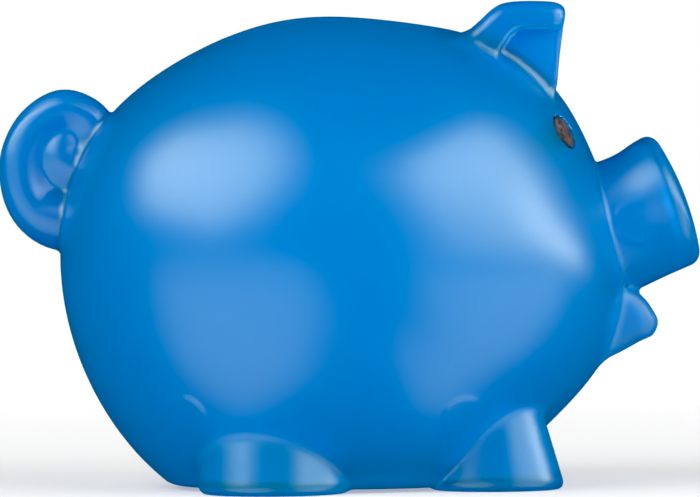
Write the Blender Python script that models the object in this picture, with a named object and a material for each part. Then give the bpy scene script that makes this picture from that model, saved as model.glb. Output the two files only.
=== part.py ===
"""Pig-shaped money box: two moulded half shells joined on the middle plane, two press-in eyes
and a push-in stopper in the flat base. The pig looks along +X and stands on its feet at z = 0."""

import math

import bmesh
import bpy
import numpy as np
from mathutils import Matrix, Vector

MM = 0.001

# The egg of the body, in millimetres. Its outline in the middle plane is given by how far it is
# from the centre at equal steps of angle, from the snout and upwards; across, it is an ellipse.
EGG_CENTRE = (-2.0, 34.0)
EGG_RADII = (45.9, 44.9, 45.5, 42.5, 41.1, 41.7, 43.3, 45.0, 44.2, 43.3, 43.0, 42.0, 40.5, 41.1, 40.7, 43.8)
EGG_HALF_WIDTH = 36.0
EGG_STEPS_ROUND = 56
EGG_STEPS_ACROSS = 22

WALL = 2.0
SEAM_GAP = 0.3  # between the two half shells
FIT_GAP = 0.3  # between a shell and what is pushed into it

BASE_Z = 0.5  # the flat base stands just clear of the floor
BASE_WALL = 2.2

# Snout: a short trunk whose axis leans up from the level.
SNOUT_FACE = (53.05, 45.6)
SNOUT_LEAN = math.radians(20.0)
SNOUT_SECTIONS = (  # distance from the face along the axis, half height, half width
    (0.6, 3.5, 3.5),
    (0.3, 6.5, 6.5),
    (-0.1, 8.6, 8.6),
    (-0.8, 10.0, 9.9),
    (-2.0, 10.8, 10.6),
    (-3.4, 11.0, 10.7),
    (-7.0, 10.5, 10.2),
    (-11.0, 10.4, 10.0),
    (-16.0, 10.5, 10.2),
    (-21.0, 10.0, 9.6),
)
SNOUT_SEGMENTS = 36
SNOUT_WALL = 2.3

# Lower lip, an inflated outline in the middle plane.
LIP_OUTLINE = (
    (38.0, 31.5), (44.0, 31.6), (46.6, 30.0), (48.3, 27.7), (49.0, 25.9), (48.2, 23.9), (46.2, 22.9),
    (41.3, 20.4), (37.0, 19.5), (35.0, 25.0),
)
LIP_CENTRE = (42.0, 26.0)
LIP_HALF_WIDTH = 7.2

# Feet: sole centre x and |y|, half length, half width; then the same at the top.
FEET = (
    ("rear", (-12.0, 19.0, 12.0, 10.4), (-11.9, 18.0, 10.9, 8.6), 13.0),
    ("front", (22.7, 12.4, 10.9, 9.0), (22.2, 12.2, 7.6, 7.4), 13.0),
)
SOLE_RADIUS = 1.5
SOLE_STEPS = 3
FOOT_SEGMENTS = 32
SOLE_WALL = 2.0

# Ears: a thick flap with a pocket in its outward face.
EAR_OUTLINE = (
    (17.6, 70.6), (21.0, 74.0), (22.9, 75.7), (24.6, 76.5), (27.5, 76.8), (31.5, 76.7), (33.3, 76.3),
    (34.2, 75.2), (33.9, 72.6), (33.3, 68.1), (32.4, 62.0), (29.0, 58.0), (20.0, 62.0), (16.5, 66.0),
)
EAR_INNER_Y, EAR_OUTER_Y = 7.2, 14.2  # at EAR_ROOT_Z
EAR_ROOT_Z, EAR_TIP_Z = 60.0, 76.8
EAR_TIP_SHARE = 0.72  # how thick it is at the tip, against the root
POCKET_OUTLINE = ((23.6, 68.6), (25.4, 71.4), (26.7, 72.4), (28.2, 72.7), (36.0, 72.6), (36.0, 57.0), (23.0, 57.0))
POCKET_FLOOR_Y = 10.8
EAR_EDGE_RADIUS = 0.9

# Tail: one curl in the middle plane, as (x, z, radius) along its middle line, and the web inside it.
TAIL_PATH = (
    (-34.0, 45.0, 4.7), (-40.5, 43.2, 4.9), (-46.0, 42.8, 4.8), (-49.9, 44.6, 4.2), (-52.0, 48.4, 3.8),
    (-52.2, 53.3, 3.55), (-50.0, 57.9, 3.35), (-45.9, 60.5, 3.3), (-41.9, 59.3, 2.9), (-40.0, 56.0, 2.5),
    (-40.9, 52.6, 2.3), (-43.6, 51.4, 2.2), (-45.9, 52.9, 2.1), (-45.6, 54.9, 1.7), (-45.0, 55.9, 0.9),
)
TAIL_HOLLOW_END = 8
TAIL_WEB_CENTRE = (-45.8, 52.0)
TAIL_WEB_RADIUS = 8.2
TAIL_WEB_HALF = 1.3

# Eyes: a domed disc on a peg.
EYE_AT = (34.0, 56.2)
EYE_AXIS = (0.83, 0.31, 0.463)  # outwards; y is away from the middle plane
EYE_RADIUS = 2.75
EYE_DISC = 1.0
EYE_DOME = 0.25
EYE_SUNK = 1.1  # how far the back of the disc lies under the skin
PEG_RADIUS = 1.4
PEG_LENGTH = 5.5

# Round pads on the inside, where the halves are pushed out of the mould: x, z and radius.
PADS = ((-26.1, 11.8), (17.6, 11.4), (45.3, 41.8))
PAD_RADIUS = 3.75
PAD_PROUD = 0.4

# Coin slot along the seam, on top.
SLOT_X = (-20.0, 15.0)
SLOT_WIDTH = 5.0
SLOT_DEPTH = 12.0

# Stopper hole in the base, with a collar inside and a recess for the stopper's flange.
HOLE_X = 2.2
HOLE_RADIUS = 11.7
FLANGE_RADIUS = 13.0
FLANGE_Z = (0.7, 1.8)
COLLAR_RADIUS = 14.6
COLLAR_TOP = 5.6
PLUG_TOP = 7.0
FINGER_RADIUS = 8.4
FINGER_TOP = 5.2
GRIP_BAR = (2.4, 15.8)  # width and length
ROUND_SEGMENTS = 48

BLUE = (0.0, 0.21, 0.63)
DARK = (0.035, 0.02, 0.015)


def clear_scene():
    for obj in list(bpy.data.objects):
        bpy.data.objects.remove(obj)


def finish_mesh(bm, name):
    bmesh.ops.recalc_face_normals(bm, faces=bm.faces)
    mesh = bpy.data.meshes.new(name)
    bm.to_mesh(mesh)
    bm.free()
    obj = bpy.data.objects.new(name, mesh)
    bpy.context.scene.collection.objects.link(obj)
    return obj


def loft(rings, name):
    """A closed solid through rings of equal count. A ring of one point closes an end to a tip."""
    bm = bmesh.new()
    made = [[bm.verts.new(Vector(p) * MM) for p in ring] for ring in rings]
    for low, high in zip(made, made[1:]):
        n = max(len(low), len(high))
        for i in range(n):
            j = (i + 1) % n
            if len(low) == 1:
                bm.faces.new((low[0], high[i], high[j]))
            elif len(high) == 1:
                bm.faces.new((low[i], low[j], high[0]))
            else:
                bm.faces.new((low[i], low[j], high[j], high[i]))
    for ring in (made[0], made[-1]):
        if len(ring) > 1:
            bm.faces.new(ring)
    return finish_mesh(bm, name)


def prism(outline, y_low, y_high, name):
    """An outline in x and z pushed across from y_low to y_high."""
    return loft([[(x, y, z) for x, z in outline] for y in (y_low, y_high)], name)


def revolved(profile, centre_x, name):
    """A solid turned about the upright axis at centre_x, through (radius, z) points, first and last on it."""
    rings = []
    for r, z in profile:
        if r == 0:
            rings.append([(centre_x, 0.0, z)])
            continue
        angles = [2 * math.pi * i / ROUND_SEGMENTS for i in range(ROUND_SEGMENTS)]
        rings.append([(centre_x + r * math.cos(a), r * math.sin(a), z) for a in angles])
    return loft(rings, name)


def block(low, high, name):
    bm = bmesh.new()
    bmesh.ops.create_cube(bm, size=1.0)
    size = [h - l for l, h in zip(low, high)]
    middle = [(h + l) / 2 for l, h in zip(low, high)]
    for v in bm.verts:
        v.co = Vector([(c * s + m) * MM for c, s, m in zip(v.co, size, middle)])
    return finish_mesh(bm, name)


def cylinder(radius, start, end, name, segments=32):
    """A round bar between two points."""
    start, end = Vector(start), Vector(end)
    along = end - start
    turn = along.to_track_quat("Z", "Y").to_matrix()
    ring = [
        turn @ Vector((radius * math.cos(a), radius * math.sin(a), 0.0))
        for a in (2 * math.pi * i / segments for i in range(segments))
    ]
    return loft([[start + p for p in ring], [end + p for p in ring]], name)


def combine(target, tool, operation):
    """Applies an exact Boolean of tool to target, and removes tool."""
    bpy.context.view_layer.update()
    modifier = target.modifiers.new("boolean", "BOOLEAN")
    modifier.operation = operation
    modifier.solver = "EXACT"
    modifier.object = tool
    graph = bpy.context.evaluated_depsgraph_get()
    mesh = bpy.data.meshes.new_from_object(target.evaluated_get(graph), depsgraph=graph)
    target.modifiers.clear()
    target.data = mesh
    bpy.data.objects.remove(tool)
    return target


def egg_radius(angles):
    """Distance from the egg's centre to its outline at each angle, smooth through EGG_RADII."""
    count = len(EGG_RADII)
    terms = np.fft.rfft(EGG_RADII) / count
    total = np.full_like(angles, terms[0].real)
    for k in range(1, count // 2):
        total += 2 * (terms[k].real * np.cos(k * angles) - terms[k].imag * np.sin(k * angles))
    return total


def egg(inset, base_z, name):
    """The egg with its wall moved in by inset, cut off flat at base_z."""
    angles = np.arange(EGG_STEPS_ROUND) * 2 * math.pi / EGG_STEPS_ROUND
    radii = egg_radius(angles) - inset
    width = EGG_HALF_WIDTH - inset
    rings = []
    for i in range(EGG_STEPS_ACROSS + 1):
        tilt = math.pi * (i / EGG_STEPS_ACROSS - 0.5)
        share, y = math.cos(tilt), width * math.sin(tilt)
        if i in (0, EGG_STEPS_ACROSS):
            rings.append([(EGG_CENTRE[0], y, EGG_CENTRE[1])])
            continue
        rings.append(
            [
                (EGG_CENTRE[0] + share * r * math.cos(a), y, EGG_CENTRE[1] + share * r * math.sin(a))
                for a, r in zip(angles, radii)
            ]
        )
    obj = loft(rings, name)
    bm = bmesh.new()
    bm.from_mesh(obj.data)
    cut = bmesh.ops.bisect_plane(
        bm,
        geom=bm.verts[:] + bm.edges[:] + bm.faces[:],
        plane_co=(0, 0, base_z * MM),
        plane_no=(0, 0, 1),
        clear_inner=True,
    )
    rim = [e for e in cut["geom_cut"] if isinstance(e, bmesh.types.BMEdge)]
    bmesh.ops.edgeloop_fill(bm, edges=rim)
    bmesh.ops.recalc_face_normals(bm, faces=bm.faces)
    bm.to_mesh(obj.data)
    bm.free()
    return obj


def skin_y(x, z):
    """How far the egg's skin is from the middle plane beside a point of that plane."""
    dx, dz = x - EGG_CENTRE[0], z - EGG_CENTRE[1]
    share = math.hypot(dx, dz) / float(egg_radius(np.array([math.atan2(dz, dx)]))[0])
    return EGG_HALF_WIDTH * math.sqrt(max(0.0, 1 - share * share))


def snout(inset, name):
    along = Vector((math.cos(SNOUT_LEAN), 0, math.sin(SNOUT_LEAN)))
    up = Vector((-math.sin(SNOUT_LEAN), 0, math.cos(SNOUT_LEAN)))
    face = Vector((SNOUT_FACE[0], 0, SNOUT_FACE[1]))
    rings = []
    for s, half_height, half_width in SNOUT_SECTIONS:
        if inset and s > -inset:
            continue
        a, b = half_height - inset, half_width - inset
        ring = []
        for i in range(SNOUT_SEGMENTS):
            t = 2 * math.pi * i / SNOUT_SEGMENTS
            ring.append(face + along * s + up * (a * math.sin(t)) + Vector((0, b * math.cos(t), 0)))
        rings.append(ring)
    return loft(rings, name)


def inflated(outline, centre, half_width, inset, name, steps=12):
    """A solid whose outline in the middle plane shrinks to nothing half_width to each side, as an ellipse does."""
    rings = []
    for i in range(steps + 1):
        tilt = math.pi * (i / steps - 0.5)
        share, y = math.cos(tilt), (half_width - inset) * math.sin(tilt)
        if i in (0, steps):
            rings.append([(centre[0], y, centre[1])])
            continue
        ring = []
        for x, z in outline:
            dx, dz = x - centre[0], z - centre[1]
            reach = math.hypot(dx, dz)
            keep = share * (reach - inset) / reach
            ring.append((centre[0] + dx * keep, y, centre[1] + dz * keep))
        rings.append(ring)
    return loft(rings, name)


def smooth_loop(points, steps):
    """A closed curve through points, with steps parts between each two."""
    made, n = [], len(points)
    for i in range(n):
        p0, p1, p2, p3 = (Vector(points[(i + k) % n]) for k in (-1, 0, 1, 2))
        for s in range(steps):
            t = s / steps
            made.append(
                0.5 * (2 * p1 + (p2 - p0) * t + (2 * p0 - 5 * p1 + 4 * p2 - p3) * t**2
                       + (3 * p1 - p0 - 3 * p2 + p3) * t**3)
            )
    return made


def tail_curve(inset, last, name):
    """The tail's curl as a tube that follows a curve and narrows with it."""
    points = TAIL_PATH[:last]
    data = bpy.data.curves.new(name, "CURVE")
    data.dimensions = "3D"
    data.bevel_depth = MM
    data.bevel_resolution = 3
    data.resolution_u = 3
    data.use_fill_caps = True
    spline = data.splines.new("BEZIER")
    spline.bezier_points.add(len(points) - 1)
    for at, (x, z, r) in zip(spline.bezier_points, points):
        at.co = Vector((x, 0, z)) * MM
        at.handle_left_type = at.handle_right_type = "AUTO"
        at.radius = max(r - inset, 0.3)
    curve = bpy.data.objects.new(name, data)
    bpy.context.scene.collection.objects.link(curve)
    graph = bpy.context.evaluated_depsgraph_get()
    mesh = bpy.data.meshes.new_from_object(curve.evaluated_get(graph), depsgraph=graph)
    bpy.data.objects.remove(curve)
    bm = bmesh.new()
    bm.from_mesh(mesh)
    bmesh.ops.remove_doubles(bm, verts=bm.verts, dist=1e-7)
    return finish_mesh(bm, name)


def foot(which, side, inset, name):
    """A stub foot, an oval cone with a rounded sole. inset gives the hollow inside it."""
    _, sole, top, height = which
    if inset:
        levels = [(0.0, SOLE_WALL), (0.0, height)]
    else:
        turns = [math.pi / 2 * i / SOLE_STEPS for i in range(SOLE_STEPS + 1)]
        levels = [(SOLE_RADIUS * (1 - math.sin(a)), SOLE_RADIUS * (1 - math.cos(a))) for a in turns]
        levels.append((0.0, height))
    rings = []
    for pinch, z in levels:
        t = z / height
        cx, cy, rx, ry = (s + (e - s) * t for s, e in zip(sole, top))
        rx, ry = rx - inset - pinch, ry - inset - pinch
        angles = [2 * math.pi * i / FOOT_SEGMENTS for i in range(FOOT_SEGMENTS)]
        rings.append([(cx + rx * math.cos(a), side * cy + ry * math.sin(a), z) for a in angles])
    return loft(rings, name)


def ear(side, name):
    flap = prism(smooth_loop(EAR_OUTLINE, 2), side * EAR_INNER_Y, side * EAR_OUTER_Y, name)
    bevel = flap.modifiers.new("edges", "BEVEL")
    bevel.width = EAR_EDGE_RADIUS * MM
    bevel.segments = 2
    bevel.limit_method = "ANGLE"
    bevel.angle_limit = math.radians(50)
    graph = bpy.context.evaluated_depsgraph_get()
    mesh = bpy.data.meshes.new_from_object(flap.evaluated_get(graph), depsgraph=graph)
    flap.modifiers.clear()
    flap.data = mesh
    pocket = prism(POCKET_OUTLINE, side * POCKET_FLOOR_Y, side * (EAR_OUTER_Y + 3), "pocket")
    combine(flap, pocket, "DIFFERENCE")
    for v in flap.data.vertices:
        rise = (v.co.z / MM - EAR_ROOT_Z) / (EAR_TIP_Z - EAR_ROOT_Z)
        thin = 1 - (1 - EAR_TIP_SHARE) * rise
        v.co.y = side * MM * (EAR_INNER_Y + (abs(v.co.y) / MM - EAR_INNER_Y) * thin)
    return flap


def eye_frame(side):
    """The middle of the eye on the skin, and the way it faces."""
    x, z = EYE_AT
    ax, ay, az = EYE_AXIS
    return Vector((x, side * skin_y(x, z), z)), Vector((ax, side * ay, az)).normalized()


def half_shell(side, name):
    """One half of the hollow pig: the skin, less the hollow, less the openings, cut on the middle plane."""
    shell = egg(0.0, BASE_Z, name)
    combine(shell, snout(0.0, "snout"), "UNION")
    lip = smooth_loop(LIP_OUTLINE, 3)
    combine(shell, inflated(lip, LIP_CENTRE, LIP_HALF_WIDTH, 0.0, "lip"), "UNION")
    tail = tail_curve(0.0, len(TAIL_PATH), "tail")
    web = cylinder(
        TAIL_WEB_RADIUS,
        (TAIL_WEB_CENTRE[0], -TAIL_WEB_HALF, TAIL_WEB_CENTRE[1]),
        (TAIL_WEB_CENTRE[0], TAIL_WEB_HALF, TAIL_WEB_CENTRE[1]),
        "web",
    )
    combine(tail, web, "UNION")
    combine(shell, tail, "UNION")
    combine(shell, ear(side, "ear"), "UNION")
    for which in FEET:
        combine(shell, foot(which, side, 0.0, "foot"), "UNION")

    hollow = egg(WALL, BASE_Z + BASE_WALL, "hollow")
    combine(hollow, snout(SNOUT_WALL, "snout_hollow"), "UNION")
    combine(hollow, inflated(lip, LIP_CENTRE, LIP_HALF_WIDTH, WALL, "lip_hollow"), "UNION")
    combine(hollow, tail_curve(WALL, TAIL_HOLLOW_END, "tail_hollow"), "UNION")
    for which in FEET:
        combine(hollow, foot(which, side, WALL, "foot_hollow"), "UNION")
    combine(shell, hollow, "DIFFERENCE")

    # collar round the stopper hole, then the hole and the flange's recess
    collar = revolved(((0, BASE_Z + 1.0), (COLLAR_RADIUS, BASE_Z + 1.0), (COLLAR_RADIUS, COLLAR_TOP),
                       (0, COLLAR_TOP)), HOLE_X, "collar")
    combine(shell, collar, "UNION")
    bore = revolved(((0, -3.0), (FLANGE_RADIUS + FIT_GAP, -3.0),
                     (FLANGE_RADIUS + FIT_GAP, FLANGE_Z[1] + FIT_GAP),
                     (HOLE_RADIUS, FLANGE_Z[1] + FIT_GAP), (HOLE_RADIUS, COLLAR_TOP + 3),
                     (0, COLLAR_TOP + 3)), HOLE_X, "bore")
    combine(shell, bore, "DIFFERENCE")

    # mould pads
    for x, z in PADS:
        on_snout = x > EGG_CENTRE[0] + EGG_RADII[0] - PAD_RADIUS
        inside = SNOUT_SECTIONS[6][2] - SNOUT_WALL if on_snout else skin_y(x, z) - WALL
        pad = cylinder(PAD_RADIUS, (x, side * (inside - PAD_PROUD), z), (x, side * (inside + 8), z), "pad")
        within = snout(WALL / 2, "within") if on_snout else egg(WALL / 2, BASE_Z + 1, "within")
        combine(pad, within, "INTERSECT")
        combine(shell, pad, "UNION")

    # coin slot with round ends
    top = EGG_CENTRE[1] + EGG_RADII[4] + 3
    half = SLOT_WIDTH / 2
    ends = [
        (x + half * math.cos(a), half * math.sin(a))
        for x, start in ((SLOT_X[1] - half, -math.pi / 2), (SLOT_X[0] + half, math.pi / 2))
        for a in (start + math.pi * i / 10 for i in range(11))
    ]
    slot = loft([[(x, y, z) for x, y in ends] for z in (top - SLOT_DEPTH, top)], "slot")
    combine(shell, slot, "DIFFERENCE")

    # seat and hole for the eye
    at, out = eye_frame(side)
    back = at - out * EYE_SUNK
    seat = cylinder(EYE_RADIUS + FIT_GAP, back - out * FIT_GAP, at + out * 4, "seat")
    combine(shell, seat, "DIFFERENCE")
    hole = cylinder(PEG_RADIUS + FIT_GAP, back - out * 7, at + out * 4, "hole", segments=24)
    combine(shell, hole, "DIFFERENCE")

    edge = SEAM_GAP / 2
    y_low, y_high = sorted((side * edge, side * 60))
    combine(shell, block((-90, y_low, -20), (90, y_high, 120), "half"), "INTERSECT")
    tidy(shell)
    return shell


def tidy(obj):
    """Merges near-coincident points and removes needle faces that the Booleans leave."""
    bm = bmesh.new()
    bm.from_mesh(obj.data)
    bmesh.ops.remove_doubles(bm, verts=bm.verts, dist=5e-6)
    bmesh.ops.dissolve_degenerate(bm, edges=bm.edges, dist=5e-6)
    bmesh.ops.triangulate(bm, faces=bm.faces)
    bmesh.ops.recalc_face_normals(bm, faces=bm.faces)
    bm.to_mesh(obj.data)
    bm.free()


def eye(side, name):
    at, out = eye_frame(side)
    turn = out.to_track_quat("Z", "Y").to_matrix()
    back = at - out * EYE_SUNK
    profile = [(0.0, -PEG_LENGTH), (PEG_RADIUS * 0.7, -PEG_LENGTH), (PEG_RADIUS, -PEG_LENGTH + 0.6),
               (PEG_RADIUS, 0.0), (EYE_RADIUS, 0.0), (EYE_RADIUS, EYE_DISC)]
    steps = 5
    for i in range(1, steps + 1):
        a = math.pi / 2 * i / steps
        profile.append((EYE_RADIUS * math.cos(a), EYE_DISC + EYE_DOME * math.sin(a)))
    profile[-1] = (0.0, EYE_DISC + EYE_DOME)
    rings = []
    for r, h in profile:
        if r == 0:
            rings.append([back + turn @ Vector((0, 0, h))])
            continue
        angles = [2 * math.pi * i / 36 for i in range(36)]
        rings.append([back + turn @ Vector((r * math.cos(a), r * math.sin(a), h)) for a in angles])
    return loft(rings, name)


def stopper(name):
    edge = 0.3
    z0, z1 = FLANGE_Z
    plug = HOLE_RADIUS - FIT_GAP
    body = revolved(
        ((0, FINGER_TOP), (FINGER_RADIUS - 1, FINGER_TOP), (FINGER_RADIUS, FINGER_TOP - 1),
         (FINGER_RADIUS + 0.3, z0), (FLANGE_RADIUS - edge, z0), (FLANGE_RADIUS, z0 + edge),
         (FLANGE_RADIUS, z1 - edge), (FLANGE_RADIUS - edge, z1), (plug, z1), (plug, PLUG_TOP - 1.2),
         (plug - 0.6, PLUG_TOP), (0, PLUG_TOP)), HOLE_X, name)
    width, length = GRIP_BAR
    bar = block((HOLE_X - length / 2, -width / 2, z0 + 0.3), (HOLE_X + length / 2, width / 2, FINGER_TOP + 0.5),
                "grip")
    return combine(body, bar, "UNION")


def coat(obj, name, colour, roughness, see_through):
    material = bpy.data.materials.get(name) or bpy.data.materials.new(name)
    material.use_nodes = True
    shader = material.node_tree.nodes["Principled BSDF"]
    shader.inputs["Base Color"].default_value = (*colour, 1.0)
    shader.inputs["Roughness"].default_value = roughness
    shader.inputs["Metallic"].default_value = 0.0
    shader.inputs["Transmission Weight"].default_value = see_through
    obj.data.materials.clear()
    obj.data.materials.append(material)
    obj.data.shade_smooth()
    obj.data.set_sharp_from_angle(angle=math.radians(35))


clear_scene()
for side, word in ((-1, "right"), (1, "left")):
    coat(half_shell(side, word + "_shell"), word + "_shell_plastic", BLUE, 0.35, 0.4)
    coat(eye(side, word + "_eye"), word + "_eye_plastic", DARK, 0.3, 0.0)
coat(stopper("stopper"), "stopper_plastic", BLUE, 0.4, 0.4)
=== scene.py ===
"""Looks of the translucent pig money box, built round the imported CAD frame."""

import math

import bpy
import numpy as np
from mathutils import Matrix, Vector


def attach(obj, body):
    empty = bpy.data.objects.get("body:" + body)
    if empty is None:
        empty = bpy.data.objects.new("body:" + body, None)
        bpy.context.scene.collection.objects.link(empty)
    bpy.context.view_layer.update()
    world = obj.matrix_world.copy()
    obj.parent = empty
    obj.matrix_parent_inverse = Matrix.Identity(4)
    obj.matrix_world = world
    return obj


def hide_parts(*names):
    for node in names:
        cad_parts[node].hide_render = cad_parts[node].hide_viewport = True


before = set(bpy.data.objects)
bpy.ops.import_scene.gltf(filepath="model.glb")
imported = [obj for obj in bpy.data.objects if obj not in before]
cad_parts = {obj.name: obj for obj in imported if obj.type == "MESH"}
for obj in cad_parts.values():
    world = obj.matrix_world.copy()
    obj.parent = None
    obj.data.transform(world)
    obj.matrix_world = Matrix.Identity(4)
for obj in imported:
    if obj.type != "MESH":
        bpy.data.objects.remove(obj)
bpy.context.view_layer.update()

MM = 0.001
CELL = 0.5  # spacing of the grid that the skins are drawn on, mm

# Shared with the CAD, in millimetres.
EGG_CENTRE = (-2.0, 34.0)
EGG_RADII = (45.9, 44.9, 45.5, 42.5, 41.1, 41.7, 43.3, 45.0, 44.2, 43.3, 43.0, 42.0, 40.5, 41.1, 40.7, 43.8)
EGG_HALF_WIDTH = 36.0
WALL = 2.1
BASE_Z = 0.5
SEAM_HALF, SEAM_GROOVE = 0.015, 0.12
SNOUT_FACE = (53.05, 45.6)
SNOUT_LEAN = math.radians(20.0)
LIP_OUTLINE = (
    (38.0, 31.5), (44.0, 31.6), (46.6, 30.0), (48.3, 27.7), (49.0, 25.9), (48.2, 23.9), (46.2, 22.9),
    (41.3, 20.4), (37.0, 19.5), (35.0, 25.0),
)
LIP_CENTRE = (42.0, 26.0)
LIP_HALF_WIDTH, LIP_POWER = 6.4, 5.0
FEET = (
    ((-12.0, 19.0, 12.0, 10.4), (-11.9, 18.0, 10.9, 8.6), 13.0),
    ((22.7, 12.4, 10.9, 9.0), (22.2, 12.2, 7.6, 7.4), 13.0),
)
EAR_OUTLINE = (
    (17.6, 70.6), (21.0, 74.0), (22.9, 75.7), (24.6, 76.5), (27.5, 76.8), (31.5, 76.7), (33.3, 76.3),
    (34.2, 75.2), (33.9, 72.6), (33.3, 68.1), (32.4, 62.0), (29.0, 58.0), (20.0, 62.0), (16.5, 66.0),
)
POCKET_OUTLINE = (
    (23.6, 68.6), (25.4, 71.4), (26.7, 72.4), (28.2, 72.7), (38.0, 72.6), (38.0, 55.0), (22.6, 55.0),
)
EAR_INNER_Y, EAR_OUTER_Y, POCKET_FLOOR_Y = 7.2, 14.2, 10.8
EAR_ROOT_Z, EAR_TIP_Z, EAR_TIP_SHARE = 60.0, 76.8, 0.72
EAR_OUTER_ROUND, EAR_INNER_ROUND, POCKET_FLOOR_ROUND, POCKET_RIM_ROUND = 2.0, 1.2, 0.5, 0.6
TAIL_PATH = (
    (-34.0, 45.0, 4.7), (-40.5, 43.2, 4.9), (-46.0, 42.8, 4.8), (-49.9, 44.6, 4.2), (-52.0, 48.4, 3.8),
    (-52.2, 53.3, 3.55), (-50.0, 57.9, 3.35), (-45.9, 60.5, 3.3), (-41.9, 59.3, 3.2), (-40.0, 56.0, 3.4),
    (-40.9, 52.6, 3.6), (-43.6, 51.4, 3.7), (-45.9, 52.9, 3.4), (-45.6, 54.9, 2.8), (-45.0, 55.9, 1.8),
)
TAIL_WEB = (-45.8, 52.0, 8.2, 1.9)
TAIL_WEB_FILLET = 1.8
EYE_AT = (34.0, 56.2)
EYE_AXIS = (0.83, 0.31, 0.463)
EYE_RADIUS, EYE_SUNK, EYE_DISC, EYE_DOME, EYE_EDGE = 2.75, 1.1, 1.0, 0.25, 0.25
PEG_RADIUS, PEG_LENGTH, PEG_TIP_ROUND = 1.4, 5.5, 0.4
SEAT_GAP, PEG_GAP, PEG_HOLE_DEPTH = 0.12, 0.15, 8.0
BODY_MARKS, SNOUT_MARK = ((-26.1, 11.8), (17.6, 11.4)), (45.3, 41.8)
MARK_RADIUS, MARK_EDGE, BODY_MARK_RISE, SNOUT_MARK_RISE = 3.75, 0.4, 0.2, 0.22
SLOT_X, SLOT_WIDTH, SLOT_EDGE, SLOT_FROM_Z = (-20.0, 15.0), 5.0, 0.35, 60.0
HOLE_X, HOLE_RADIUS, HOLE_EDGE = 2.2, 11.7, 0.2
FLANGE_RADIUS, FLANGE_TOP, FLANGE_GAP = 13.0, 1.8, 0.2
COLLAR_RADIUS, COLLAR_FOOT, COLLAR_TOP, COLLAR_ROUND, PLUG_TOP = 14.6, 1.4, 5.6, 0.5, 7.0

# Radii of the corners and of the fillets where parts meet the body, outside the shell and in its hollow.
OUTSIDE = {"edge": 0.7, "snout": 0.5, "rim": 1.6, "lip": 1.1, "foot": 0.45, "sole": 1.5}
INSIDE = {"edge": 3.4, "snout": 3.0, "rim": 4.6, "lip": 3.0, "foot": 3.0, "sole": 2.8}
TAIL_FILLET = 0.8

TINT = (0.0, 0.43, 0.8)
GLOSS_TINT = (0.82, 1.0, 0.86)
ABSORBED = (0.0, 0.85, 0.95)
DENSITY = 1000.0
ROUGHNESS, SATIN_ROUGHNESS = (0.285, 0.33), 0.22


# ---------------------------------------------------------------- signed distances, in mm


def round_max(a, b, r):
    """The later of two distances, with the outside edge between them rounded by r."""
    both = np.hypot(np.maximum(a + r, 0), np.maximum(b + r, 0))
    return np.minimum(-r, np.maximum(a, b)) + both


def round_min(a, b, r):
    """The nearer of two distances, with the inside corner between them filled by r."""
    both = np.hypot(np.maximum(r - a, 0), np.maximum(r - b, 0))
    return np.maximum(r, np.minimum(a, b)) - both


def wave_table():
    """The egg's radius and its slope at fine steps of angle, smooth through EGG_RADII."""
    angles = np.linspace(0, 2 * math.pi, 8193)
    count = len(EGG_RADII)
    terms = np.fft.rfft(EGG_RADII) / count
    radii = np.full_like(angles, terms[0].real)
    slope = np.zeros_like(angles)
    for k in range(1, count // 2):
        c, s = np.cos(k * angles), np.sin(k * angles)
        radii += 2 * (terms[k].real * c - terms[k].imag * s)
        slope += 2 * k * (-terms[k].real * s - terms[k].imag * c)
    return angles, radii, slope


def loop_points(points, steps):
    """A closed curve through points, with steps parts between each two."""
    p = np.array(points, float)
    p0, p1, p2, p3 = (np.roll(p, k, axis=0) for k in (1, 0, -1, -2))
    made = []
    for t in np.arange(steps) / steps:
        made.append(
            0.5 * (2 * p1 + (p2 - p0) * t + (2 * p0 - 5 * p1 + 4 * p2 - p3) * t**2
                   + (3 * p1 - p0 - 3 * p2 + p3) * t**3)
        )
    return np.stack(made, axis=1).reshape(-1, 2)


def outline_table(points, centre):
    """Radius and slope by angle, for an outline round centre."""
    loop = loop_points(points, 40)
    d = loop - np.array(centre)
    angle, reach = np.arctan2(d[:, 1], d[:, 0]) % (2 * math.pi), np.hypot(d[:, 0], d[:, 1])
    order = np.argsort(angle)
    angles = np.linspace(0, 2 * math.pi, 1025)
    radii = np.interp(angles, angle[order], reach[order], period=2 * math.pi)
    kernel = np.hanning(23)
    wrapped = np.concatenate([radii[-12:-1], radii, radii[1:12]])
    radii = np.convolve(wrapped, kernel / kernel.sum(), "valid")
    return angles, radii, np.gradient(radii, angles)


def blown(p, centre, table, half_width, power=2.0):
    """A solid with this outline in the middle plane, shrinking to each side as an ellipse does, or boxier."""
    dx, dz = p[:, 0] - centre[0], p[:, 2] - centre[1]
    reach = np.maximum(np.hypot(dx, dz), 1e-6)
    turn = np.arctan2(dz, dx) % (2 * math.pi)
    radius, slope = np.interp(turn, table[0], table[1]), np.interp(turn, table[0], table[2])
    g = reach / radius
    across = p[:, 1] / half_width
    q = np.maximum((g**power + np.abs(across) ** power) ** (1 / power), 1e-6)
    along, aside = (g / q) ** (power - 1), (np.abs(across) / q) ** (power - 1)
    steep = np.hypot(along / radius * np.hypot(1, slope / radius), aside / half_width)
    return (q - 1) / np.maximum(steep, 1e-4)


def oval(u, v, a, b):
    """Distance from an ellipse with half axes a and b, nearly."""
    q = np.maximum(np.hypot(u / a, v / b), 1e-6)
    return (q - 1) * q / np.maximum(np.hypot(u / a**2, v / b**2), 1e-6)


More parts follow.
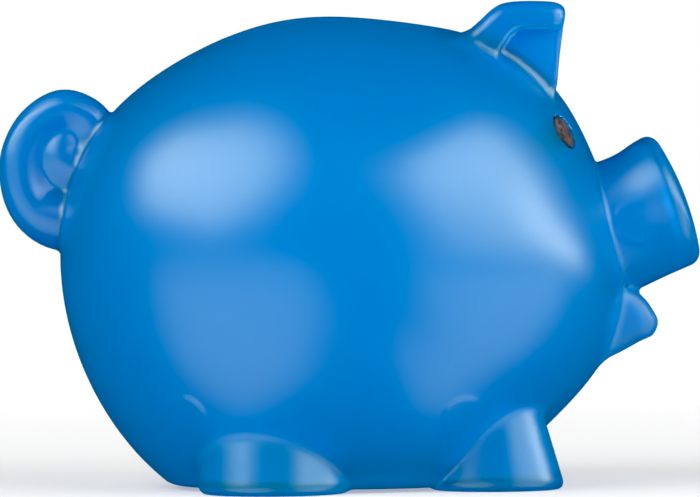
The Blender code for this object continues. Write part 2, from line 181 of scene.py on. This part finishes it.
def polygon(x, z, outline):
    """Distance from a closed outline, negative inside."""
    best, inside = np.full_like(x, 1e9), np.zeros(x.shape, bool)
    for (ax, az), (bx, bz) in zip(outline, np.roll(outline, -1, axis=0)):
        ex, ez = bx - ax, bz - az
        t = np.clip(((x - ax) * ex + (z - az) * ez) / (ex * ex + ez * ez), 0, 1)
        best = np.minimum(best, (x - ax - ex * t) ** 2 + (z - az - ez * t) ** 2)
        crosses = (az > z) != (bz > z)
        if ez != 0:
            inside ^= crosses & (x < (z - az) / ez * ex + ax)
    return np.where(inside, -1, 1) * np.sqrt(best)


EGG_TABLE = wave_table()
LIP_TABLE = outline_table(LIP_OUTLINE, LIP_CENTRE)
EAR_LOOP = loop_points(EAR_OUTLINE, 4)
POCKET_LOOP = np.array(POCKET_OUTLINE)
SNOUT_S = (-22.0, -16.0, -11.0, -7.5, -5.2, -3.4, -1.5, 3.0)
SNOUT_TOP = (10.2, 10.2, 10.15, 10.15, 10.75, 11.35, 11.35, 11.35)
SNOUT_BOTTOM = (11.6, 11.5, 11.2, 10.85, 10.7, 10.6, 10.5, 10.5)
SNOUT_WIDTH = (10.0, 10.0, 9.8, 9.9, 10.3, 10.7, 10.8, 10.8)


def soft_steps(s, at, values):
    """Values joined smoothly, by averaging the straight joins over a short reach."""
    return sum(np.interp(s + d, at, values) for d in (-1.6, -0.8, 0, 0.8, 1.6)) / 5


def body(p, edge):
    """The egg with its flat base, whose rim is rounded by edge."""
    egg = blown(p, EGG_CENTRE, EGG_TABLE, EGG_HALF_WIDTH)
    return round_max(egg, BASE_Z - p[:, 2], edge)


def snout(p, rim):
    """A leaning barrel that widens to a slightly domed face, with its rim rounded."""
    ca, sa = math.cos(SNOUT_LEAN), math.sin(SNOUT_LEAN)
    dx, dz = p[:, 0] - SNOUT_FACE[0], p[:, 2] - SNOUT_FACE[1]
    s, u = dx * ca + dz * sa, dz * ca - dx * sa
    top, bottom = soft_steps(s, SNOUT_S, SNOUT_TOP), soft_steps(s, SNOUT_S, SNOUT_BOTTOM)
    side = oval(u, p[:, 1], np.where(u > 0, top, bottom), soft_steps(s, SNOUT_S, SNOUT_WIDTH))
    dome = s - 0.6 + (u * u + p[:, 1] ** 2) / 90.0
    return np.maximum(round_max(side, dome, rim), -20.0 - s)


def lip(p):
    return blown(p, LIP_CENTRE, LIP_TABLE, LIP_HALF_WIDTH, LIP_POWER)


def foot(p, which, edge):
    """A leaning oval cone that stands on its sole."""
    sole, top, height = which
    t = np.clip(p[:, 2] / height, 0, 1)
    cx, cy, rx, ry = (a + (b - a) * t for a, b in zip(sole, top))
    side = oval(p[:, 0] - cx, p[:, 1] - cy, rx, ry)
    return np.maximum(round_max(side, -p[:, 2], edge), p[:, 2] - height)


def ear(p):
    """An upright flap, thinner at its tip, with a pocket in its outer face."""
    rise = np.clip((p[:, 2] - EAR_ROOT_Z) / (EAR_TIP_Z - EAR_ROOT_Z), 0, 1.1)
    thin = 1 - (1 - EAR_TIP_SHARE) * rise
    outer = EAR_INNER_Y + (EAR_OUTER_Y - EAR_INNER_Y) * thin
    floor = EAR_INNER_Y + (POCKET_FLOOR_Y - EAR_INNER_Y) * thin
    plan = polygon(p[:, 0], p[:, 2], EAR_LOOP)
    flap = round_max(plan, p[:, 1] - outer, EAR_OUTER_ROUND)
    flap = round_max(flap, EAR_INNER_Y - p[:, 1], EAR_INNER_ROUND)
    pocket = round_max(polygon(p[:, 0], p[:, 2], POCKET_LOOP), floor - p[:, 1], POCKET_FLOOR_ROUND)
    return round_max(flap, -pocket, POCKET_RIM_ROUND)


def ear_fillet(p):
    """The ear runs softly into the back behind, and has a tight corner in front."""
    return 1.3 + 1.0 * np.clip((24.5 - p[:, 0]) / 6.0, 0, 1)


def tail_points():
    """The curl's middle line at fine steps, as x, z and radius."""
    p = np.array(TAIL_PATH)
    padded = np.vstack([2 * p[0] - p[1], p, 2 * p[-1] - p[-2]])
    made = []
    for i in range(1, len(padded) - 2):
        p0, p1, p2, p3 = padded[i - 1 : i + 3]
        for t in np.arange(6) / 6:
            made.append(
                0.5 * (2 * p1 + (p2 - p0) * t + (2 * p0 - 5 * p1 + 4 * p2 - p3) * t**2
                       + (3 * p1 - p0 - 3 * p2 + p3) * t**3)
            )
    return np.array(made + [p[-1]])


TAIL_LINE = tail_points()


def tail(p):
    """A tube along TAIL_LINE, and the thinner web inside the curl."""
    best = np.full(len(p), 1e3)
    for (ax, az, ar), (bx, bz, br) in zip(TAIL_LINE, TAIL_LINE[1:]):
        ex, ez = bx - ax, bz - az
        t = np.clip(((p[:, 0] - ax) * ex + (p[:, 2] - az) * ez) / (ex * ex + ez * ez), 0, 1)
        away = (p[:, 0] - ax - ex * t) ** 2 + p[:, 1] ** 2 + (p[:, 2] - az - ez * t) ** 2
        best = np.minimum(best, np.sqrt(away) - (ar + (br - ar) * t))
    wx, wz, wr, wh = TAIL_WEB
    web = np.maximum(np.hypot(p[:, 0] - wx, p[:, 2] - wz) - wr, np.abs(p[:, 1]) - wh)
    return round_min(best, web, TAIL_WEB_FILLET)


SNOUT_BOX = ((32, -12, 30), (56, 12, 58))
LIP_BOX = ((34, -8, 19), (50, 8, 33))
TAIL_BOX = ((-57, -6, 36), (-33, 6, 65))
EAR_BOX = ((16, 5, 58), (35, 17, 77))
FOOT_BOXES = [
    ((cx - rx, cy - ry, 0), (cx + rx, cy + ry, height)) for (cx, cy, rx, ry), _, height in FEET
]


BOX_MARGIN = 6.0


def near(p, low_corner, high_corner):
    inside = np.ones(len(p), bool)
    for k in range(3):
        inside &= (p[:, k] > low_corner[k] - BOX_MARGIN) & (p[:, k] < high_corner[k] + BOX_MARGIN)
    return inside


def add(field, p, part, box, fillet, *more):
    """Joins part to field with a fillet, worked out only near the part's box."""
    at = near(p, *box)
    if at.any():
        reach = fillet(p[at]) if callable(fillet) else fillet
        field[at] = round_min(field[at], part(p[at], *more), reach)
    return field


def one_side(p):
    """The points with y counted away from the middle plane."""
    return np.column_stack([p[:, 0], np.abs(p[:, 1]), p[:, 2]])


def main_form(p, radii):
    """The body with its snout, lip and feet, which are hollow."""
    field = body(p, radii["edge"])
    field = add(field, p, snout, SNOUT_BOX, radii["snout"], radii["rim"])
    field = add(field, p, lip, LIP_BOX, radii["lip"])
    for which, box in zip(FEET, FOOT_BOXES):
        field = add(field, p, foot, box, radii["foot"], which, radii["sole"])
    return field


def skin(p):
    """The outside of the pig."""
    p = one_side(p)
    field = add(main_form(p, OUTSIDE), p, tail, TAIL_BOX, TAIL_FILLET)
    return add(field, p, ear, EAR_BOX, ear_fillet)


def cavity(p):
    """The hollow inside, a wall's thickness in, with softer corners than the outside."""
    return main_form(one_side(p), INSIDE) + WALL


def mark(p, centre, uphill, rise):
    """How far one round mould mark stands out of the skin: most on the side that uphill points to."""
    dx, dz = p[:, 0] - centre[0], p[:, 2] - centre[1]
    share = (dx * uphill[0] + dz * uphill[1]) / MARK_RADIUS
    inside = np.clip((MARK_RADIUS - np.hypot(dx, dz)) / MARK_EDGE, 0, 1)
    return inside * np.clip(0.5 + share * 0.5, 0, 1) * rise


def marks(p):
    """All the mould marks of one side, those on the body highest towards its middle."""
    total = mark(p, SNOUT_MARK, (-0.7, -0.7), SNOUT_MARK_RISE)
    for centre in BODY_MARKS:
        inward = np.array(EGG_CENTRE) - np.array(centre)
        total += mark(p, centre, inward / np.hypot(*inward), BODY_MARK_RISE)
    return total


def from_hole(p, radius):
    """Distance from an upright cylinder in the middle of the base's hole."""
    return np.hypot(p[:, 0] - HOLE_X, p[:, 1]) - radius


def eye_frame():
    """Where the left eye sits on the skin, and the way it faces."""
    x, z = EYE_AT
    dx, dz = x - EGG_CENTRE[0], z - EGG_CENTRE[1]
    radius = np.interp(math.atan2(dz, dx) % (2 * math.pi), EGG_TABLE[0], EGG_TABLE[1])
    y = EGG_HALF_WIDTH * math.sqrt(1 - (math.hypot(dx, dz) / radius) ** 2)
    return np.array([x, y, z]), np.array(EYE_AXIS) / np.linalg.norm(EYE_AXIS)


def shell(p):
    """The plastic of both halves together, before the seam is cut."""
    q = one_side(p)
    field = round_max(skin(p) - marks(p), -cavity(p), HOLE_EDGE)

    collar = round_max(from_hole(p, COLLAR_RADIUS), q[:, 2] - COLLAR_TOP, COLLAR_ROUND)
    collar = np.maximum(collar, COLLAR_FOOT - q[:, 2])
    field = round_min(field, collar, COLLAR_ROUND)
    bore = np.maximum(from_hole(p, HOLE_RADIUS), q[:, 2] - 2 * PLUG_TOP)
    recess = from_hole(p, FLANGE_RADIUS + FLANGE_GAP)
    recess = np.maximum(recess, q[:, 2] - FLANGE_TOP - FLANGE_GAP)
    field = round_max(field, -np.minimum(bore, recess), HOLE_EDGE)

    half, middle = SLOT_WIDTH / 2, sum(SLOT_X) / 2
    reach = (SLOT_X[1] - SLOT_X[0]) / 2 - half
    slot = np.hypot(np.maximum(np.abs(q[:, 0] - middle) - reach, 0), q[:, 1]) - half
    slot = np.maximum(slot, SLOT_FROM_Z - q[:, 2])
    field = round_max(field, -slot, SLOT_EDGE)

    at, out = eye_frame()
    d = q - at
    along = d @ out
    off = np.sqrt(np.maximum((d * d).sum(1) - along**2, 0))
    seat = np.maximum(off - EYE_RADIUS - SEAT_GAP, -EYE_SUNK - 0.1 - along)
    peg = np.maximum(off - PEG_RADIUS - PEG_GAP, -PEG_HOLE_DEPTH - along)
    return round_max(field, -np.minimum(seat, peg), SEAT_GAP)


# ---------------------------------------------------------------- meshes


def sampled(field, axes):
    """The field's values on a grid, one slice of x at a time."""
    values = np.empty([len(axis) for axis in axes], np.float32)
    y, z = np.meshgrid(axes[1], axes[2], indexing="ij")
    for i, x in enumerate(axes[0]):
        p = np.column_stack([np.full(y.size, x), y.ravel(), z.ravel()])
        values[i] = field(p).reshape(y.shape)
    return values


def cell_points(values, cells, corners):
    """In each cell, the mean of the places where its edges go through the surface, counted in cells."""
    sums, hits = np.zeros((len(cells), 3)), np.zeros(len(cells))
    for a in corners:
        for axis in range(3):
            if a[axis]:
                continue
            b = list(a)
            b[axis] = 1
            va = values[tuple((cells + a).T)]
            vb = values[tuple((cells + b).T)]
            cross = (va < 0) != (vb < 0)
            t = np.where(cross, va / np.where(cross, va - vb, 1), 0)
            point = np.tile(np.array(a, float), (len(cells), 1))
            point[:, axis] += t
            sums += point * cross[:, None]
            hits += cross
    return cells + sums / hits[:, None]


def quads_round(inside, number, axis):
    """A quad, facing out, round each grid edge along axis that goes through the surface."""
    b, c = (axis + 1) % 3, (axis + 2) % 3
    here = [slice(1, n - 1) for n in inside.shape]
    here[axis] = slice(0, inside.shape[axis] - 1)
    there = list(here)
    there[axis] = slice(1, inside.shape[axis])
    one, two = inside[tuple(here)], inside[tuple(there)]
    edges = np.argwhere(one != two)
    starts_in = one[tuple(edges.T)]
    base = edges + 1
    base[:, axis] -= 1
    ring = []
    for db, dc in ((-1, -1), (0, -1), (0, 0), (-1, 0)):
        cell_at = base.copy()
        cell_at[:, b] += db
        cell_at[:, c] += dc
        ring.append(number[tuple(cell_at.T)])
    ring = np.stack(ring, axis=1)
    ring[~starts_in] = ring[~starts_in][:, ::-1]
    return ring


def drawn(field, low_corner, high_corner, cell):
    """A closed quad mesh where field is zero: one point in each cell that it crosses."""
    counts = [int(math.ceil((h - l) / cell)) + 1 for l, h in zip(low_corner, high_corner)]
    values = sampled(field, [l + cell * np.arange(n) for l, n in zip(low_corner, counts)])
    inside = values < 0
    corners = [(i, j, k) for i in (0, 1) for j in (0, 1) for k in (0, 1)]
    nx, ny, nz = counts
    total = np.zeros((nx - 1, ny - 1, nz - 1), np.int8)
    for i, j, k in corners:
        total += inside[i : nx - 1 + i, j : ny - 1 + j, k : nz - 1 + k]
    cells = np.argwhere((total > 0) & (total < 8))
    number = np.full(total.shape, -1, np.int64)
    number[tuple(cells.T)] = np.arange(len(cells))
    points = np.array(low_corner) + cell * cell_points(values, cells, corners)
    return points, np.concatenate([quads_round(inside, number, axis) for axis in range(3)])


def slope_of(field, p):
    step = 0.03
    grad = np.empty_like(p)
    for k in range(3):
        d = np.zeros(3)
        d[k] = step
        grad[:, k] = (field(p + d) - field(p - d)) / (2 * step)
    return grad


def settled(field, points, cell):
    """Moves points onto the surface in four short steps, none by more than its cell."""
    start = points.copy()
    for _ in range(4):
        value, grad = field(points), slope_of(field, points)
        size = np.maximum((grad * grad).sum(1), 0.2)
        points = points - grad * (value / size)[:, None] * 0.9
        points = start + np.clip(points - start, -cell, cell)
    return points


def seam_field(p):
    """The right half of the shell, up to the seam."""
    return np.maximum(shell(p), p[:, 1] + SEAM_HALF)


GRID_LOW, GRID_HIGH = (-57.6, -1.3), (57.6, 78.4)  # x and z, just past the pig
CELLS_ASIDE = 75


def half_mesh(cell):
    """Points and quads of the right half, cut on the middle plane with a fine groove along the seam."""
    cut = -SEAM_HALF
    low_corner = (GRID_LOW[0], cut - (CELLS_ASIDE + 0.5) * cell, GRID_LOW[1])
    high_corner = (GRID_HIGH[0], cut + 1.5 * cell, GRID_HIGH[1])
    points, quads = drawn(seam_field, low_corner, high_corner, cell)
    flat = points[:, 1] > cut - 0.5 * cell
    free = points[~flat]
    points[~flat] = settled(shell, free, cell)
    edge = points[flat]
    edge[:, 1] = cut
    for _ in range(5):
        value, grad = shell(edge), slope_of(shell, edge)
        grad[:, 1] = 0
        size = np.maximum((grad * grad).sum(1), 0.3)
        rim = np.abs(value) < 0.75 * cell
        sunk = value + np.where(skin(edge) > -WALL / 2, SEAM_GROOVE, 0)
        move = grad * (sunk / size)[:, None]
        edge -= np.where(rim[:, None], np.clip(move, -cell, cell), 0)
    points[flat] = edge
    return points, quads


def linked(name, mesh):
    """A new object in the scene."""
    obj = bpy.data.objects.new(name, mesh)
    bpy.context.scene.collection.objects.link(obj)
    return obj


def smooth_piece(name, mesh, sharp_degrees):
    """A smooth-shaded object whose edges stay sharp where faces turn by more than sharp_degrees."""
    mesh.shade_smooth()
    mesh.set_sharp_from_angle(angle=math.radians(sharp_degrees))
    return linked(name, mesh)


def skin_piece(name, points, quads):
    mesh = bpy.data.meshes.new(name)
    mesh.from_pydata((points * MM).tolist(), [], quads.tolist())
    mesh.validate()
    return smooth_piece(name, mesh, 40)


def lathe(name, profile, place):
    """A solid turned about its own Z through (radius, z) points in mm, then put at place."""
    segments = 64
    points, faces, rings = [], [], []
    for r, z in profile:
        if r == 0:
            rings.append([len(points)])
            points.append((0, 0, z))
            continue
        rings.append(list(range(len(points), len(points) + segments)))
        turns = np.arange(segments) * 2 * math.pi / segments
        points += [(r * math.cos(a), r * math.sin(a), z) for a in turns]
    for a, b in zip(rings, rings[1:]):
        for i in range(segments):
            j = (i + 1) % segments
            if len(a) == 1:
                faces.append((a[0], b[i], b[j]))
            elif len(b) == 1:
                faces.append((a[i], a[j], b[0]))
            else:
                faces.append((a[i], a[j], b[j], b[i]))
    mesh = bpy.data.meshes.new(name)
    mesh.from_pydata([(Vector(p) * MM)[:] for p in points], [], faces)
    mesh.transform(place)
    return smooth_piece(name, mesh, 38)


def arc(cx, cz, r, start, end):
    """Four points of a rounded corner in a profile."""
    angles = np.radians(np.linspace(start, end, 4))
    return [(cx + r * math.cos(a), cz + r * math.sin(a)) for a in angles]


# ---------------------------------------------------------------- materials


def plastic(name):
    """Translucent moulded plastic: tinted at its faces, and darker where a longer way goes through it."""
    material = bpy.data.materials.new(name)
    material.use_nodes = True
    nodes, links = material.node_tree.nodes, material.node_tree.links
    shader = nodes["Principled BSDF"]
    shader.inputs["Base Color"].default_value = (*TINT, 1)
    shader.inputs["Transmission Weight"].default_value = 0.9
    shader.inputs["IOR"].default_value = 1.45
    shader.inputs["Specular Tint"].default_value = (*GLOSS_TINT, 1)
    volume = nodes.new("ShaderNodeVolumeAbsorption")
    volume.inputs["Color"].default_value = (*ABSORBED, 1)
    volume.inputs["Density"].default_value = DENSITY
    links.new(volume.outputs["Volume"], nodes["Material Output"].inputs["Volume"])
    where = nodes.new("ShaderNodeTexCoord")
    cloud = nodes.new("ShaderNodeTexNoise")
    cloud.inputs["Scale"].default_value = 60.0
    links.new(where.outputs["Object"], cloud.inputs["Vector"])
    uneven = nodes.new("ShaderNodeMapRange")
    uneven.inputs["To Min"].default_value = ROUGHNESS[0]
    uneven.inputs["To Max"].default_value = ROUGHNESS[1]
    links.new(cloud.outputs["Fac"], uneven.inputs["Value"])
    inside = nodes.new("ShaderNodeAttribute")
    inside.attribute_name = "satin"
    rough = nodes.new("ShaderNodeMath")
    rough.operation = "MULTIPLY_ADD"
    rough.inputs[1].default_value = SATIN_ROUGHNESS
    links.new(inside.outputs["Fac"], rough.inputs[0])
    links.new(uneven.outputs["Result"], rough.inputs[2])
    links.new(rough.outputs["Value"], shader.inputs["Roughness"])
    noise = nodes.new("ShaderNodeTexNoise")
    noise.inputs["Scale"].default_value = 900.0
    noise.inputs["Detail"].default_value = 3.0
    links.new(where.outputs["Object"], noise.inputs["Vector"])
    bump = nodes.new("ShaderNodeBump")
    bump.inputs["Strength"].default_value = 0.04
    bump.inputs["Distance"].default_value = 0.0001
    links.new(noise.outputs["Fac"], bump.inputs["Height"])
    links.new(bump.outputs["Normal"], shader.inputs["Normal"])
    return material


def eye_material(name):
    """Dull dark plastic with a brown speckle."""
    material = bpy.data.materials.new(name)
    material.use_nodes = True
    shader = material.node_tree.nodes["Principled BSDF"]
    shader.inputs["Roughness"].default_value = 0.5
    shader.inputs["Specular IOR Level"].default_value = 0.1
    nodes, links = material.node_tree.nodes, material.node_tree.links
    where = nodes.new("ShaderNodeTexCoord")
    speckle = nodes.new("ShaderNodeTexNoise")
    speckle.inputs["Scale"].default_value = 1400.0
    links.new(where.outputs["Object"], speckle.inputs["Vector"])
    browns = nodes.new("ShaderNodeValToRGB")
    browns.color_ramp.elements[0].position = 0.36
    browns.color_ramp.elements[0].color = (0.018, 0.009, 0.009, 1)
    browns.color_ramp.elements[1].position = 0.64
    browns.color_ramp.elements[1].color = (0.075, 0.048, 0.052, 1)
    links.new(speckle.outputs["Fac"], browns.inputs["Fac"])
    links.new(browns.outputs["Color"], shader.inputs["Base Color"])
    return material


# ---------------------------------------------------------------- pieces


def satin_share(points):
    """How matt the plastic is: fully in the hollow, and partly on the snout, lip and tail."""
    share = np.clip(1.6 - cavity(points) / WALL * 2, 0, 1)
    for field, matt in ((snout(points, OUTSIDE["rim"]), 0.3), (lip(points), 0.8), (tail(points), 0.15)):
        share = np.maximum(share, matt * np.clip(1 - field, 0, 1))
    return share


def make_shells():
    points, quads = half_mesh(CELL)
    satin = satin_share(points)
    mirror = np.array([1, -1, 1])
    for side, shape in (("right", (points, quads)), ("left", (points * mirror, quads[:, ::-1]))):
        obj = skin_piece(side + "_shell_skin", *shape)
        obj.data.materials.append(plastic(side + "_shell_plastic"))
        obj.data.attributes.new("satin", "FLOAT", "POINT").data.foreach_set("value", satin)
        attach(obj, "pig")
        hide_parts(side + "_shell")


def eye_profile():
    """A peg with a round tip, then a disc with a round edge and a low dome."""
    tip, edge = PEG_TIP_ROUND, EYE_EDGE
    profile = [(0, -PEG_LENGTH)] + arc(PEG_RADIUS - tip, tip - PEG_LENGTH, tip, -90, 0)
    profile += [(PEG_RADIUS, 0), (EYE_RADIUS, 0), (EYE_RADIUS, EYE_DISC - edge)]
    profile += arc(EYE_RADIUS - edge, EYE_DISC - edge, edge, 15, 75)
    dome_radius = EYE_RADIUS - edge - 0.05
    for a in np.arange(1, 8) * math.pi / 16:
        profile.append((dome_radius * math.cos(a), EYE_DISC + EYE_DOME * math.sin(a)))
    return profile + [(0, EYE_DISC + EYE_DOME)]


def make_eyes():
    at, out = eye_frame()
    for side, word in ((-1, "right"), (1, "left")):
        facing = Vector((out[0], side * out[1], out[2]))
        back = Vector((at[0], side * at[1], at[2])) - facing * EYE_SUNK
        place = Matrix.Translation(back * MM) @ facing.to_track_quat("Z", "Y").to_matrix().to_4x4()
        eye = lathe(word + "_eye_stud", eye_profile(), place)
        eye.data.materials.append(eye_material(word + "_eye_plastic"))
        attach(eye, "pig")
        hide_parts(word + "_eye")


make_shells()
make_eyes()
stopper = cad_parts["stopper"]
stopper.data.materials.clear()
stopper.data.materials.append(plastic("stopper_plastic"))

# ---------------------------------------------------------------- floor, light and camera


def lit_floor_with_painted_glow():
    """A grey floor with a painted glow, weaker near the pig and stronger away from it, that stands in for
    light and makes it pale, a little darker near the pig; the pig's gloss doesn't show it.
    """
    mesh = bpy.data.meshes.new("floor")
    size = 6.0
    corners = [(-size, -size, 0), (size, -size, 0), (size, size, 0), (-size, size, 0)]
    mesh.from_pydata(corners, [], [(0, 1, 2, 3)])
    floor = linked("floor", mesh)
    material = bpy.data.materials.new("floor")
    material.use_nodes = True
    shader = material.node_tree.nodes["Principled BSDF"]
    shader.inputs["Base Color"].default_value = (0.3, 0.3, 0.3, 1)
    shader.inputs["Roughness"].default_value = 0.6
    # Painted light: the floor glows white, though it is no lamp.
    shader.inputs["Emission Color"].default_value = (1, 1, 1, 1)
    nodes, links = material.node_tree.nodes, material.node_tree.links
    where = nodes.new("ShaderNodeTexCoord")
    reach = nodes.new("ShaderNodeVectorMath")
    reach.operation = "LENGTH"
    links.new(where.outputs["Object"], reach.inputs[0])
    # Painted light: the glow is weaker near the pig, where the panels light the floor, and stronger farther
    # out, where they don't.
    glow = nodes.new("ShaderNodeMapRange")
    glow.inputs["From Min"].default_value = 0.1
    glow.inputs["From Max"].default_value = 0.7
    glow.inputs["To Min"].default_value = 0.38
    glow.inputs["To Max"].default_value = 0.9
    links.new(reach.outputs["Value"], glow.inputs["Value"])
    links.new(glow.outputs["Result"], shader.inputs["Emission Strength"])
    mesh.materials.append(material)
    floor.visible_glossy = floor.visible_transmission = floor.visible_shadow = False
    return floor


def panel(name, corners, distance, radiance):
    """A soft light panel round the pig: azimuth is 0 at the camera and grows towards +X."""
    points = []
    for azimuth, elevation in corners:
        a, e = math.radians(azimuth), math.radians(elevation)
        points.append((
            distance * math.sin(a) * math.cos(e),
            -distance * math.cos(a) * math.cos(e),
            distance * math.sin(e) + 0.036,
        ))
    mesh = bpy.data.meshes.new(name)
    mesh.from_pydata(points, [], [tuple(range(len(points)))])
    light = linked(name, mesh)
    material = bpy.data.materials.new(name)
    material.use_nodes = True
    nodes, links = material.node_tree.nodes, material.node_tree.links
    nodes.remove(nodes["Principled BSDF"])
    glow = nodes.new("ShaderNodeEmission")
    glow.inputs["Strength"].default_value = radiance
    links.new(glow.outputs["Emission"], nodes["Material Output"].inputs["Surface"])
    mesh.materials.append(material)
    light.visible_camera = False


def studio_world():
    """White to the camera, and brighter behind the pig than in front for the light through it."""
    world = bpy.data.worlds.new("studio")
    bpy.context.scene.world = world
    world.use_nodes = True
    nodes, links = world.node_tree.nodes, world.node_tree.links
    backdrop = nodes["Background"]
    backdrop.inputs["Color"].default_value = (1, 1, 1, 1)
    backdrop.inputs["Strength"].default_value = 1.0
    room = nodes.new("ShaderNodeBackground")
    where = nodes.new("ShaderNodeTexCoord")
    apart = nodes.new("ShaderNodeSeparateXYZ")
    links.new(where.outputs["Generated"], apart.inputs["Vector"])
    depth = nodes.new("ShaderNodeMapRange")
    depth.inputs["From Min"].default_value = -0.3
    depth.inputs["From Max"].default_value = 0.8
    depth.inputs["To Min"].default_value = 0.5
    depth.inputs["To Max"].default_value = 1.1
    links.new(apart.outputs["Y"], depth.inputs["Value"])
    links.new(depth.outputs["Result"], room.inputs["Strength"])
    seen = nodes.new("ShaderNodeLightPath")
    mixed = nodes.new("ShaderNodeMixShader")
    links.new(seen.outputs["Is Camera Ray"], mixed.inputs["Fac"])
    links.new(room.outputs["Background"], mixed.inputs[1])
    links.new(backdrop.outputs["Background"], mixed.inputs[2])
    links.new(mixed.outputs["Shader"], nodes["World Output"].inputs["Surface"])
    world.cycles_visibility.glossy = False  # black flags: only the panels show in the gloss


def side_camera():
    """Level with the pig's middle, looking at its right side, which just fills the picture."""
    distance, height, view_width, roll = 0.68, 0.038, 0.112, 0.45
    data = bpy.data.cameras.new("camera")
    data.sensor_width = 36
    data.lens = data.sensor_width * distance / view_width
    camera = bpy.data.objects.new("camera", data)
    camera.location = (0, -distance, height)
    camera.rotation_euler = (math.radians(90), math.radians(roll), 0)
    bpy.context.scene.collection.objects.link(camera)
    bpy.context.scene.camera = camera


# Corners of the light panels, as azimuth and elevation in degrees.
LEFT_SOFTBOX = ((-76, 18), (-42, 14), (-24, 30), (-22, 46), (-52, 58), (-88, 48), (-90, 34))
RIGHT_SOFTBOX = ((36, 12), (90, 11), (80, 34), (70, 47), (13, 41))
RIDGE_LIGHT = ((42, 29), (46, 22), (99, 4), (99, 10))
LEFT_FILL = ((-68, -2), (-68, -30), (-50, -50), (-10, -42), (-4, -12), (-12, 3))
RIGHT_FILL = ((26, 2), (30, -30), (52, -50), (78, -42), (86, 3))

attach(lit_floor_with_painted_glow(), "stopper")  # with the stopper out, it lies on the floor and the pig is held above it
studio_world()
panel("left_softbox", LEFT_SOFTBOX, 0.95, 10.0)
panel("right_softbox", RIGHT_SOFTBOX, 0.95, 9.2)
panel("ridge_light", RIDGE_LIGHT, 0.93, 22.0)
panel("left_fill", LEFT_FILL, 0.95, 3.3)
panel("right_fill", RIGHT_FILL, 0.95, 3.5)

side_camera()
film = bpy.context.scene.view_settings
film.view_transform = "Standard"
film.use_curve_mapping = True
film.curve_mapping.black_level = (0.03, 0.0, 0.0)  # takes the faint red haze out of the blue
film.curve_mapping.update()
